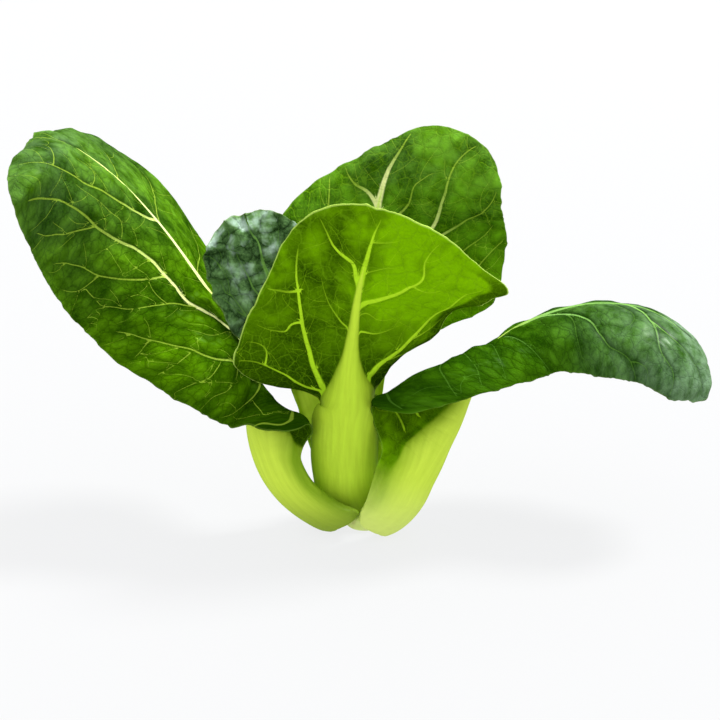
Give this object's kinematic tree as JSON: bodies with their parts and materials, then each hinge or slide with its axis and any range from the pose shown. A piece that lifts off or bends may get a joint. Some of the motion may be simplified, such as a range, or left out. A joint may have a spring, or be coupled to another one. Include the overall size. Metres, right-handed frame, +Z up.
{
  "type": "head of bok choy",
  "caption": "Small head of bok choy standing on its cut stem, with pale fleshy stalks, spreading rounded leaf blades and short heart leaves.",
  "frame": {"origin": "middle of the flat cut face at the bottom of the stem", "axes": "+Z up along the stem, +X to the viewer's right with the widest spread of leaves, -Y towards the viewer"},
  "size_m": [0.1517, 0.0622, 0.0894],
  "materials": {
    "stem": "matt",
    "bright_stalk": "smooth, slightly glossy",
    "pale_stalk": "smooth, slightly glossy",
    "dark_blade": "waxy, veined",
    "under_blade": "matt, with raised veins",
    "blue_blade": "glossy, puckered",
    "heart": "smooth"
  },
  "bodies": {
    "root": {"stem_base": "stem", "left_leaf_stalk": "bright_stalk", "left_leaf_blade": "dark_blade", "right_leaf_stalk": "bright_stalk", "right_leaf_blade": "dark_blade", "front_leaf_stalk": "bright_stalk", "front_leaf_blade": "under_blade", "back_leaf_stalk": "pale_stalk", "back_leaf_blade": "dark_blade", "crinkled_leaf_stalk": "pale_stalk", "crinkled_leaf_blade": "blue_blade", "outer_heart_leaf": "heart", "inner_heart_leaf": "heart"}
  },
  "joints": []
}
